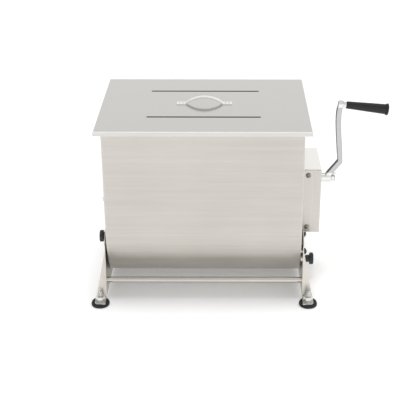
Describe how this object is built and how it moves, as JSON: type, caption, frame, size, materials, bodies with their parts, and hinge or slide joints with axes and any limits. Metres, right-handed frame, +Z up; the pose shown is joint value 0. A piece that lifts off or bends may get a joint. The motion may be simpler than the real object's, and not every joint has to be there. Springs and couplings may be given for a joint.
{
  "type": "hand-cranked tilting meat mixer",
  "caption": "U-shaped steel mixing tub with a flat lid, tilting on a low stand with rubber feet, and a geared hand crank that turns its paddles.",
  "frame": {"origin": "on the bench, in the middle of the machine's own box", "axes": "+X along the paddle shaft towards the crank, +Y towards the back, +Z up"},
  "size_m": [0.6186, 0.3618, 0.4018],
  "materials": {
    "tub_sheet": "satin brushed stainless sheet",
    "lid_sheet_steel": "satin brushed stainless sheet",
    "stand_sheet": "satin brushed stainless sheet",
    "machined_steel": "turned and milled stainless",
    "crank_steel": "satin chrome",
    "zinc_hardware": "bright zinc plate",
    "bronze_bush": "sintered bronze",
    "black_plastic": "moulded black plastic",
    "grip_plastic": "moulded black plastic",
    "black_rubber": "moulded rubber"
  },
  "bodies": {
    "stand": {"side_plate_left": "stand_sheet", "side_plate_right": "stand_sheet", "front_crossbar": "stand_sheet", "rear_crossbar": "stand_sheet", "rubber_feet": "black_rubber", "foot_studs": "zinc_hardware", "foot_washers": "zinc_hardware", "foot_nuts": "zinc_hardware", "pivot_bushes": "bronze_bush", "guide_buttons": "bronze_bush", "stop_bolt": "zinc_hardware", "stop_bolt_cap": "black_plastic", "lock_bush": "stand_sheet"},
    "lock": {"lock_screw": "zinc_hardware", "lock_knob": "black_plastic"},
    "tub": {"tub_shell": "tub_sheet", "end_plate_left": "tub_sheet", "end_plate_right": "tub_sheet", "pivot_studs": "machined_steel", "pivot_spacers": "bronze_bush", "stop_lug": "tub_sheet", "bearing_housing": "machined_steel", "bearing_screws": "zinc_hardware", "tail_bush": "bronze_bush", "journal_bush": "bronze_bush", "shaft_seals": "black_rubber", "gear_case_base": "tub_sheet", "gear_case_cover": "tub_sheet", "gear_case_screws": "crank_steel", "input_bush_inner": "bronze_bush", "input_bush_outer": "bronze_bush"},
    "tilt_knob": {"pivot_knob": "black_plastic"},
    "lid": {"lid_sheet": "lid_sheet_steel", "lid_handle": "lid_sheet_steel"},
    "paddle": {"paddle_shaft": "machined_steel", "paddle_arms": "machined_steel", "paddle_blades": "machined_steel", "tail_screw": "zinc_hardware", "tail_washer": "zinc_hardware", "drive_gear": "machined_steel", "gear_pin": "zinc_hardware"},
    "crank": {"input_shaft": "machined_steel", "pinion": "machined_steel", "pinion_pin": "zinc_hardware", "crank_arm": "crank_steel", "grip_spindle": "crank_steel"},
    "crank_nut": {"wing_nut": "crank_steel"},
    "handle": {"grip": "grip_plastic"}
  },
  "joints": [
    {"name": "tub_tilt", "type": "hinge", "parent": "stand", "child": "tub", "pos_m": [-0.07383, -0.1, 0.129], "axis": [1, 0, 0], "range_deg": [0, 95]},
    {"name": "lid_lift", "type": "slide", "parent": "tub", "child": "lid", "axis": [0, 0, 1], "range_m": [0, 0.12]},
    {"name": "paddle_spin", "type": "hinge", "parent": "tub", "child": "paddle", "pos_m": [-0.07383, 0, 0.168], "axis": [1, 0, 0], "continuous": true},
    {"name": "crank_spin", "type": "hinge", "parent": "tub", "child": "crank", "pos_m": [0.17217, 0, 0.22], "axis": [1, 0, 0], "continuous": true},
    {"name": "grip_spin", "type": "hinge", "parent": "crank", "child": "handle", "pos_m": [0.20917, 0, 0.385], "axis": [0.9936, 0, -0.1132], "continuous": true},
    {"name": "wing_nut_turn", "type": "hinge", "parent": "crank", "child": "crank_nut", "pos_m": [0.19647, 0, 0.22], "axis": [1, 0, 0], "continuous": true},
    {"name": "tilt_knob_turn", "type": "hinge", "parent": "tub", "child": "tilt_knob", "pos_m": [-0.28783, -0.1, 0.129], "axis": [-1, 0, 0], "continuous": true},
    {"name": "lock_knob_turn", "type": "hinge", "parent": "stand", "child": "lock", "pos_m": [0.14017, -0.122, 0.088], "axis": [1, 0, 0], "continuous": true}
  ],
  "couplings": [
    {"joint": "crank_spin", "follows": "paddle_spin", "ratio": -2.0588}
  ]
}
